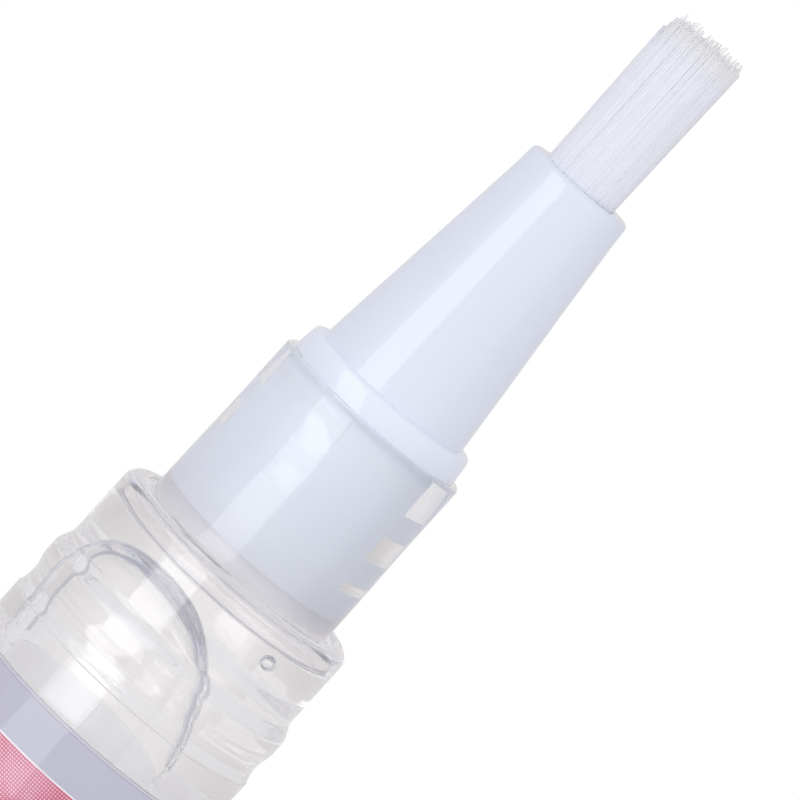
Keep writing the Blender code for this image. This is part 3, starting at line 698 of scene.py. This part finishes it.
class BuildLabel(bpy.types.Operator):
    """Label film wrapped round the body, with its seam at the back"""

    bl_idname = "pen.build_label"
    bl_label = "Label"

    def execute(self, context):
        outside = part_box("label")[1].x
        inside = BODY_RADIUS - context.scene.pen_shape.contact
        rounding = 0.02 * MM
        seam = math.radians(0.8)
        corners = [
            (inside, low("label")),
            (outside, low("label"), rounding),
            (outside, high("label"), rounding),
            (inside, high("label")),
        ]
        piece = turned("label_wrap", corners, start=(math.pi + seam) / 2, sweep=FULL_TURN - seam)
        dress(piece, "label_film", "barrel", "label")
        return {"FINISHED"}


def bubble(name, centre, radius):
    """A closed gas bubble: its faces point into the gas, so that the gel ends at them."""
    deselect_all()
    bpy.ops.mesh.primitive_uv_sphere_add(segments=96, ring_count=48, radius=radius, location=centre)
    piece = bpy.context.object
    piece.name = name
    bpy.ops.object.transform_apply(location=True, rotation=True, scale=True)
    bpy.ops.object.mode_set(mode="EDIT")
    bpy.ops.mesh.select_mode(type="VERT")
    bpy.ops.mesh.select_all(action="SELECT")
    bpy.ops.mesh.normals_make_consistent(inside=True)
    bpy.ops.object.mode_set(mode="OBJECT")
    bpy.ops.object.shade_smooth()
    return piece


def gas_pocket(radius):
    """The long bubble under the front wall: blunt, leaning to the left, and drawn out to the rear.

    It is flat in depth and hugs the wall, with a thin film of gel between."""
    dome = 6.1 * MM
    straight = 7.6 * MM
    depth_to_wall = 2.4 * MM
    depth_to_axis = 2.3 * MM
    lean = 0.18
    bluntness = 2.4
    film = 0.12 * MM
    free = 4.5 * MM
    room = RESERVOIR_RADIUS - film - free
    turn = Matrix.Rotation(math.radians(-22), 3, "Z")
    middle = Vector((0.36 * MM, -2.75 * MM, 100.1 * MM))
    piece = bubble("gas_pocket", (0, 0, 0), radius)
    for vertex in piece.data.vertices:
        place = vertex.co / radius
        swell = place.xy.length ** (2 / bluntness - 1) if place.xy.length > WELD else 0
        height = abs(place.z) ** (2 / bluntness)
        place.x *= swell * radius
        place.y *= swell * (depth_to_wall if place.y < 0 else depth_to_axis)
        if place.z > 0:
            place.z = height * dome
            place.x -= lean * place.z
        elif place.z < -WELD:
            place.z = -straight - height * radius
        vertex.co = turn @ (place + middle)
        reach = vertex.co.xy.length
        if reach > free:
            vertex.co = widened(vertex.co, (free + room * (1 - math.exp((free - reach) / room))) / reach)
    return piece


class BuildGel(bpy.types.Operator):
    """Gel in the reservoir with its gas bubbles, and the gel that stands in the neck"""

    bl_idname = "pen.build_gel"
    bl_label = "Gel"

    def execute(self, context):
        shape = context.scene.pen_shape
        wall = RESERVOIR_RADIUS + shape.contact
        top = CEILING + shape.contact
        corners = [
            (0, low("gel_column")),
            (wall, low("gel_column"), EDGE),
            (wall, top + CEILING_RISE, CEILING_FILLET + shape.contact),
            (NECK_BORE_RADIUS, top),
            (0, top),
        ]
        column = turned("reservoir_gel", corners)
        small = bubble("small_bubble", (3.15 * MM, -2.2 * MM, 106.15 * MM), 0.34 * MM)
        join((gas_pocket(shape.bubble_radius), small), column)
        dress(column, "gel", "barrel", "gel_column")
        self.coat_pocket(column, top)
        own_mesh(column)
        edge = NECK_BORE_RADIUS + shape.contact
        bottom = CEILING - shape.contact
        front = PLUG_END + 0.05 * MM
        disc = turned("neck_gel_disc", [(0, bottom), (edge, bottom), (edge, front), (0, front)])
        dress(disc, "still_gel", "barrel", "neck_gel", slot="gel")
        return {"FINISHED"}

    def coat_pocket(self, column, top):
        """Gives the gel's skin to the bubbles, whose faces are the small ones well inside the gel."""
        column.data.materials.append(surface("gel_skin"))
        inner = RESERVOIR_RADIUS - 0.05 * MM
        ceiling = top - 0.2 * MM
        largest = 0.2 * MM**2
        for face in column.data.polygons:
            places = [column.data.vertices[number].co for number in face.vertices]
            enclosed = all(place.xy.length < inner and place.z < ceiling for place in places)
            if enclosed and face.area < largest:
                face.material_index = 1


class BuildBrushSeat(bpy.types.Operator):
    """White collar on the neck's rim, with a ribbed plug that touches the neck's bore"""

    bl_idname = "pen.build_brush_seat"
    bl_label = "Brush seat"

    def execute(self, context):
        rib = NECK_BORE_RADIUS + context.scene.pen_shape.contact
        core = NECK_BORE_RADIUS - 0.045 * MM
        foot = RIM - 0.005 * MM
        bore = 2.9 * MM
        feed_hole = 0.75 * MM
        floor = PLUG_END + 2.5 * MM
        rounding = 0.03 * MM
        step = 0.1 * MM
        corners = [(feed_hole, PLUG_END), (rib, PLUG_END, 0.04 * MM)]
        for start, end in ((1.45 * MM, 1.92 * MM), (3.15 * MM, 4.47 * MM)):
            corners += [
                (rib, PLUG_END + start, rounding),
                (core, PLUG_END + start + step, rounding),
                (core, PLUG_END + end - step, rounding),
                (rib, PLUG_END + end, rounding),
            ]
        corners += [
            (rib, PLUG_END + 5.62 * MM, rounding),
            (core, PLUG_END + 5.75 * MM, rounding),
            (core, foot, 0.1 * MM),
            (4.455 * MM, foot, 0.06 * MM),
            (4.31 * MM, COLLAR_TOP, 0.25 * MM),
            (bore, COLLAR_TOP, EDGE),
            (bore, floor, EDGE),
            (feed_hole, floor, EDGE),
        ]
        piece = turned("brush_seat", corners)
        self.close_gaps(piece, rib, core)
        dress(piece, "seat_plastic", "barrel", "collar_plug", slot="white_plastic")
        return {"FINISHED"}

    def close_gaps(self, piece, rib, core):
        """Closes the gaps between the ribs all round, except at the windows.

        These are spans of degrees from the front, for each gap from the top down."""
        left = (-112, -61)
        windows = (
            (PLUG_END + 5.0 * MM, (left, (76, 100))),
            (PLUG_END + 2.5 * MM, (left, (79, 100))),
            (PLUG_END, (left,)),
        )
        for vertex in piece.data.vertices:
            reach = vertex.co.xy.length
            if reach < core - 0.02 * MM or not PLUG_END + MM < vertex.co.z < RIM - 0.1 * MM:
                continue
            angle = math.degrees(math.atan2(-vertex.co.x, -vertex.co.y))
            spans = next(spans for bottom, spans in windows if vertex.co.z > bottom)
            if not any(start < angle < end for start, end in spans):
                vertex.co = widened(vertex.co, rib / reach)


class BuildCone(bpy.types.Operator):
    """White tapered nose with its spigot and the mouth that holds the bristles"""

    bl_idname = "pen.build_cone"
    bl_label = "Cone"

    def execute(self, context):
        foot = COLLAR_TOP - 0.03 * MM
        shoulder = CONE_TIP - 4.6 * MM
        mouth = 1.81 * MM
        bore = 2.25 * MM
        spigot = 2.85 * MM
        corners = [
            (bore, SPIGOT_END, EDGE),
            (spigot, SPIGOT_END, 0.1 * MM),
            (spigot, foot, 0.02 * MM),
            (3.80 * MM, foot),
            (3.755 * MM, foot + 0.55 * MM, 0.4 * MM),
            (3.488 * MM, foot + 3.18 * MM),
            (3.035 * MM, foot + 7.43 * MM),
            (2.69 * MM, foot + 10.84 * MM, 0.6 * MM),
            (2.62 * MM, CONE_TIP, 0.24 * MM),
            (mouth, CONE_TIP, 0.08 * MM),
            (mouth, shoulder, EDGE),
            (bore, shoulder, EDGE),
        ]
        dress(turned("cone_nose", corners), "white_plastic", "barrel", "brush_cone")
        return {"FINISHED"}


class BuildBristles(bpy.types.Operator):
    """Brush of fine nylon filaments on a fused base"""

    bl_idname = "pen.build_bristles"
    bl_label = "Bristles"

    def execute(self, context):
        shape = context.scene.pen_shape
        root = TUFT_BASE + 0.5 * MM
        length = TUFT_TOP - root
        middle = (0, 0, root + length / 2)
        radius = shape.strand_radius
        deselect_all()
        bpy.ops.mesh.primitive_cylinder_add(vertices=4, radius=radius, depth=length, location=middle)
        piece = context.object
        piece.name = "brush_filaments"
        bpy.ops.object.transform_apply(location=True, rotation=True, scale=True)
        bpy.ops.object.mode_set(mode="EDIT")
        for share in (0.42, 0.7, 0.87):
            bpy.ops.mesh.select_all(action="SELECT")
            bpy.ops.mesh.bisect(plane_co=(0, 0, root + length * share), plane_no=(0, 0, 1))
        bpy.ops.object.mode_set(mode="OBJECT")
        points = len(piece.data.vertices)
        bpy.ops.object.modifier_add(type="ARRAY")
        copies = piece.modifiers[-1]
        copies.count = shape.strands
        copies.use_relative_offset = False
        copies.use_constant_offset = True
        copies.constant_offset_displace = (0.1 * MM, 0, 0)
        bpy.ops.object.modifier_apply(modifier=copies.name)
        bpy.ops.object.shade_smooth()
        self.comb(piece, points, root, length, shape)
        base_radius = 2.05 * MM
        base_top = TUFT_BASE + 0.85 * MM
        corners = [
            (0, TUFT_BASE),
            (base_radius, TUFT_BASE, EDGE),
            (base_radius, base_top, EDGE),
            (1.655 * MM, base_top),
            (1.775 * MM, TUFT_TOP - 1.0 * MM),
            (1.6 * MM, TUFT_TOP - 0.62 * MM),
            (0, TUFT_TOP - 0.56 * MM),
        ]
        join((turned("tuft_base", corners, 48),), piece)
        dress(piece, "nylon", "barrel", "bristle_tuft")
        return {"FINISHED"}

    def comb(self, piece, points, root, length, shape):
        """Spreads, leans, clumps and trims the filaments, and gives each its shade."""
        dice = np.random.default_rng(11)
        flare = 0.08
        gather = 0.1
        clump_field = 1.9 * MM
        overlong = 0.12 * MM
        aside_shift = (-0.05 * MM, 0)
        flat = np.zeros(len(piece.data.vertices) * 3, np.float32)
        piece.data.vertices.foreach_get("co", flat)
        place = flat.reshape(-1, points, 3).astype(float)
        count = len(place)
        offset = place - place.mean(axis=1, keepdims=True) * (1, 1, 0)
        up = (offset[:, :, 2:] - root) / length
        reach, around = self.seats(count)
        seat = np.stack((reach * np.cos(around), reach * np.sin(around)), axis=1)
        seat = seat[:, None] + dice.normal(0, 0.005 * MM, (count, 1, 2))
        clumps = dice.uniform(-clump_field, clump_field, (CLUMPS, 2))
        clump = np.linalg.norm(seat - clumps[None], axis=2).argmin(axis=1)
        lean = dice.normal(0, 0.01 * MM, (count, 1, 2))
        sway = dice.normal(0, 0.004 * MM, (count, 1, 2))
        spread = seat * (1 + flare * up**1.3) + (clumps[clump][:, None] - seat) * gather * up**12
        spread = spread + lean * up**1.6 + sway * np.sin(up * math.pi)
        angle = dice.uniform(0, math.pi / 2, (count, 1))
        aside, ahead = offset[:, :, 0], offset[:, :, 1]
        width = (
            aside * np.cos(angle) - ahead * np.sin(angle),
            aside * np.sin(angle) + ahead * np.cos(angle),
        )
        taper = 1 - 0.2 * np.clip((up - 0.93) / 0.07, 0, 1)
        trim = 1 + (overlong - self.cuts(dice, clump, reach, around, shape)) / length
        place[:, :, :2] = spread + np.stack(width, axis=2) * taper + aside_shift
        place[:, :, 2:] = root + up * trim * length
        piece.data.vertices.foreach_set("co", place.astype(np.float32).ravel())
        piece.data.update()
        tone = piece.data.attributes.new("strand_shade", "FLOAT", "POINT")
        tone.data.foreach_set("value", np.repeat(dice.uniform(0, 1, count), points).astype(np.float32))

    def seats(self, count):
        """Where the filaments stand: an even spiral of them inside two closed rings."""
        ring_count = 230
        golden = math.pi * (3 - math.sqrt(5))
        order = np.arange(count)
        reach = 1.66 * MM * np.sqrt((order + 0.5) / (count - 2 * ring_count))
        around = order * golden
        for ring, ring_reach in ((1, 1.725 * MM), (2, 1.695 * MM)):
            chosen = slice(count - ring * ring_count, count - (ring - 1) * ring_count)
            reach[chosen] = ring_reach
            around[chosen] = (np.arange(ring_count) + ring / 2) * FULL_TURN / ring_count
        return reach, around

    def cuts(self, dice, clump, reach, around, shape):
        """How much each filament is cut: uneven by clump and by itself, strays less, the left rim more."""
        each = (len(clump), 1, 1)
        stray_cut = 0.32 * MM
        rim_cut = 0.6 * MM
        uneven = dice.uniform(0.34 * MM, 0.44 * MM, CLUMPS)[clump][:, None, None]
        short = dice.beta(1.2, 1.8, each) * shape.end_scatter + uneven
        stray = dice.uniform(0, 1, each) < shape.stray_share
        short = np.where(stray, dice.uniform(0, stray_cut, each), short)
        rim = np.clip((reach / (1.72 * MM) - 0.92) / 0.05, 0, 1)
        left = np.clip((-np.cos(around) - 0.8) / 0.1, 0, 1)
        return short + rim_cut * (rim * left)[:, None, None]


class BuildPiston(bpy.types.Operator):
    """Piston with its snap socket, and its two seal rings"""

    bl_idname = "pen.build_piston"
    bl_label = "Piston"

    def execute(self, context):
        rear = low("piston")
        front = high("piston")
        outside = RESERVOIR_RADIUS - 0.22 * MM
        groove = RESERVOIR_RADIUS - 1.05 * MM
        gap = 0.05 * MM
        socket = 2.5 * MM
        throat = 1.7 * MM
        socket_front = high("screw_rod") + 0.3 * MM
        socket_rear = rear + 2.1 * MM
        nose_slope = 0.5 * MM
        seals = ("piston_rear_seal", "piston_front_seal")
        corners = [
            (0, socket_front),
            (socket, socket_front, 0.2 * MM),
            (socket, socket_rear, 0.1 * MM),
            (throat, socket_rear, 0.1 * MM),
            (throat, rear, 0.15 * MM),
            (outside, rear, 0.3 * MM),
        ]
        for seal in seals:
            corners += [
                (outside, low(seal) - gap, 0.06 * MM),
                (groove, low(seal) - gap, 0.04 * MM),
                (groove, high(seal) + gap, 0.04 * MM),
                (outside, high(seal) + gap, 0.06 * MM),
            ]
        corners += [
            (outside, front - nose_slope, 0.2 * MM),
            (outside - nose_slope, front, 0.2 * MM),
            (0, front),
        ]
        dress(turned("piston_body", corners), "white_plastic", "piston", "piston")
        for seal in seals:
            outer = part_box(seal)[1].x
            inner = outer - 0.95 * MM
            ends = ((inner, low(seal)), (outer, low(seal)), (outer, high(seal)), (inner, high(seal)))
            corners = [(*end, 0.3 * MM) for end in ends]
            dress(turned(seal.replace("piston_", "") + "_ring", corners), "rubber", "piston", seal)
        return {"FINISHED"}


class BuildRearEnd(bpy.types.Operator):
    """White bush that closes the barrel, and the fluted twist knob"""

    bl_idname = "pen.build_rear_end"
    bl_label = "Knob and bush"

    def execute(self, context):
        inside = 3.9 * MM
        flange = BODY_RADIUS - 0.4 * MM
        pressed = MECHANISM_RADIUS - 0.05 * MM
        rear = low("barrel_bush")
        front = high("barrel_bush")
        flange_front = rear + 0.8 * MM
        corners = [
            (inside, rear, EDGE),
            (flange, rear, 0.1 * MM),
            (flange, flange_front, 0.1 * MM),
            (pressed, flange_front, EDGE),
            (pressed, front, 0.15 * MM),
            (inside, front, EDGE),
        ]
        dress(turned("rear_bush", corners), "white_plastic", "barrel", "barrel_bush")
        self.build_knob(context.scene.pen_shape.sides)
        return {"FINISHED"}

    def build_knob(self, sides):
        """The knob is turned first, and its flutes are then pressed in column by column."""
        radius = BODY_RADIUS - 0.05 * MM
        top = high("twist_knob")
        shell = 5.25 * MM
        floor = 2.0 * MM
        post = 4.75 * MM
        post_bore = 3.85 * MM
        post_top = 16.0 * MM
        margin = 2.6 * MM
        runout = 0.44 * MM
        steps = 5
        rows = [margin + runout * step / steps for step in range(steps + 1)]
        corners = [(0, 0), (radius, 0, 0.45 * MM)]
        corners += [(radius, height) for height in rows]
        corners += [(radius, top - height) for height in rows[::-1]]
        corners += [
            (radius, top, 0.3 * MM),
            (shell, top, 0.1 * MM),
            (shell, floor, 0.2 * MM),
            (post, floor, 0.2 * MM),
            (post, post_top, 0.1 * MM),
            (post_bore, post_top, 0.1 * MM),
            (post_bore, floor, 0.1 * MM),
            (0, floor),
        ]
        piece = turned("fluted_knob", corners)
        flutes = 12
        depth = 0.22 * MM
        near = 0.01 * MM
        columns = sides // flutes

        def on_flute(vertex, level, height):
            """Whether a vertex is in the flutes' columns of this level, in the row at either end."""
            place = vertex.co
            column = round(math.atan2(place.y, place.x) / FULL_TURN * flutes * columns) % columns
            in_row = min(abs(place.z - height), abs(place.z - (top - height))) < near
            return place.xy.length >= radius - near and in_row and min(column, columns - column) == level

        bpy.ops.object.mode_set(mode="EDIT")
        for level in range(1, columns // 2 + 1):
            for number, height in enumerate(rows):
                pressed = depth * half_wave(level / columns) * half_wave(number / steps / 2)
                if pressed > 0:
                    pick(piece, on_flute, level, height)
                    factor = 1 - pressed / radius
                    bpy.ops.transform.resize(value=(factor, factor, 1), center_override=(0, 0, 0))
        bpy.ops.object.mode_set(mode="OBJECT")
        dress(piece, "white_plastic", "knob", "twist_knob")


class DressDrive(bpy.types.Operator):
    """Finishes of the carried-over drive pieces: nut, ratchet, rod, sleeve, spring, tube and tuft retainer
    """

    bl_idname = "pen.dress_drive"
    bl_label = "Drive pieces"

    def execute(self, context):
        drive = ("feed_tube", "drive_nut", "ratchet_ring", "screw_rod", "drive_sleeve", "ratchet_crown")
        finishes = {
            "white_plastic": ("tuft_retainer",),
            "natural_plastic": drive,
            "spring_steel": ("click_spring",),
        }
        for finish, nodes in finishes.items():
            for node in nodes:
                coat(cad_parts[node], finish)
        return {"FINISHED"}


class BuildStage(bpy.types.Operator):
    """Pale floor, soft studio light and the camera at the photograph's angle"""

    bl_idname = "pen.build_stage"
    bl_label = "Stage"

    def execute(self, context):
        scene = context.scene
        deselect_all()
        bpy.ops.mesh.primitive_circle_add(vertices=128, radius=0.5, fill_type="NGON")
        floor = context.object
        floor.name = "studio_floor"
        floor.data.materials.append(surface("paper"))
        middle = Vector((0.4 * MM, 0, 117.88 * MM))
        self.light(context, middle)
        self.surround(scene)
        self.camera(context, middle)
        scene.view_settings.view_transform = "Standard"
        scene.cycles.max_bounces = 256
        scene.cycles.glossy_bounces = 256
        scene.cycles.transmission_bounces = 256
        scene.cycles.diffuse_bounces = 128
        scene.cycles.blur_glossy = 0.0
        return {"FINISHED"}

    def light(self, context, middle):
        """A slanted softbox in front of the pen and to its left, which makes the long highlights."""
        azimuth = math.radians(32.5)
        slant = math.radians(40)
        toward = Vector((math.sin(azimuth), math.cos(azimuth), 0.0))
        level = Vector((toward.y, -toward.x, 0.0))
        across = math.cos(slant) * level + math.sin(slant) * Vector((0, 0, 1))
        turn = Matrix((across, (-toward).cross(across), -toward)).transposed()
        bpy.ops.object.light_add(type="AREA")
        softbox = context.object
        softbox.name = "slanted softbox"
        softbox.matrix_world = Matrix.Translation(middle - toward) @ turn.to_4x4()
        softbox.data.shape = "RECTANGLE"
        softbox.data.size = 0.55
        softbox.data.size_y = 1.4
        softbox.data.energy = context.scene.pen_studio.softbox
        softbox.visible_camera = False
        softbox.visible_diffuse = False

    def surround(self, scene):
        """White behind the pen, and a soft grey studio in everything that mirrors or bends the light."""
        world = bpy.data.worlds.new("studio")
        world.use_nodes = True
        scene.world = world
        tree = world.node_tree
        tree.nodes.clear()
        direction = add(tree, "ShaderNodeTexCoord").outputs["Generated"]
        axes = add(tree, "ShaderNodeSeparateXYZ", {"Vector": direction})
        back = shade((1.0, 0.967, 0.974), scene.pen_studio.surround)
        # Brightness from beside the pen to right behind it
        rise = {0.42: 0.79, 0.75: 0.79, 0.87: 0.82, 0.915: 0.86, 0.96: 0.93, 0.99: 0.985, 1.0: 1.0}
        stops = [(position, shade(back, share)) for position, share in rise.items()]
        front = (0.25, grey(scene.pen_studio.behind_camera))
        glow = ramp(tree, mapped(tree, axes.outputs["Y"], -1.0, 1.0), front, *stops)
        lift = mapped(tree, calculated(tree, "ABSOLUTE", axes.outputs["Z"]), 0.3, 0.75)
        glow = mixed(tree, lift, glow, shade(back, 0.96))
        lean = mapped(tree, axes.outputs["X"], -1.0, 1.0, 1.06, 0.94)
        glow = add(tree, "ShaderNodeVectorMath", {0: glow, "Scale": lean}, operation="SCALE")
        path = add(tree, "ShaderNodeLightPath")
        diffuse = path.outputs["Is Diffuse Ray"]
        glow = mixed(tree, diffuse, glow.outputs["Vector"], (0.99, 1.005, 1.04), "MULTIPLY")
        fill = mapped(tree, diffuse, 0.0, 1.0, 1.0, 1.12)
        felt = add(tree, "ShaderNodeBackground", {"Color": glow, "Strength": fill}).outputs[0]
        seen = add(tree, "ShaderNodeBackground", {"Color": (1, 1, 1, 1), "Strength": 1.0}).outputs[0]
        both = add(tree, "ShaderNodeMixShader", {0: path.outputs["Is Camera Ray"], 1: felt, 2: seen})
        add(tree, "ShaderNodeOutputWorld", {"Surface": both.outputs[0]})

    def camera(self, context, middle):
        """A long lens, tilted down to the pen and rolled as in the photograph."""
        tilt = math.radians(6.5)
        roll = math.radians(47.85)
        width = 33.82 * MM
        lens = 400.0
        sensor = 36.0
        forward = Vector((0, math.cos(tilt), -math.sin(tilt)))
        upright = Vector((0, math.sin(tilt), math.cos(tilt)))
        level = Vector((1, 0, 0))
        right = math.cos(roll) * upright + math.sin(roll) * level
        up = math.sin(roll) * upright - math.cos(roll) * level
        turn = Matrix((right, up, -forward)).transposed()
        place = middle - forward * width * lens / sensor
        bpy.ops.object.camera_add()
        camera = context.object
        camera.name = "photo camera"
        camera.data.lens = lens
        camera.data.sensor_width = sensor
        camera.data.clip_start = 0.01
        camera.data.clip_end = 20
        camera.matrix_world = Matrix.Translation(place) @ turn.to_4x4()
        context.scene.camera = camera


class PenPanel(bpy.types.Panel):
    """Lists the pen's builders and its sizes, colours and light"""

    bl_idname = "PEN_PT_build"
    bl_label = "Gel remover pen"
    bl_space_type = "VIEW_3D"
    bl_region_type = "UI"
    bl_category = "Pen"

    def draw(self, context):
        for builder in BUILDERS:
            self.layout.operator(builder.bl_idname)
        for name, group in GROUPS.items():
            for field in group.__annotations__:
                self.layout.prop(getattr(context.scene, name), field)


BUILDERS = (
    BuildBarrel,
    BuildLabel,
    BuildGel,
    BuildBrushSeat,
    BuildCone,
    BuildBristles,
    BuildPiston,
    BuildRearEnd,
    DressDrive,
    BuildStage,
)
GROUPS = {"pen_shape": PenShape, "pen_colours": PenColours, "pen_studio": PenStudio}
CLASSES = (*GROUPS.values(), *BUILDERS, PenPanel)


def register():
    for item in CLASSES:
        bpy.utils.register_class(item)
    for name, group in GROUPS.items():
        setattr(bpy.types.Scene, name, PointerProperty(type=group))


def unregister():
    for name in GROUPS:
        delattr(bpy.types.Scene, name)
    for item in reversed(CLASSES):
        bpy.utils.unregister_class(item)


def main():
    register()
    for builder in BUILDERS:
        group, action = builder.bl_idname.split(".")
        getattr(getattr(bpy.ops, group), action)()
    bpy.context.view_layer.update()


if __name__ == "__main__":
    main()
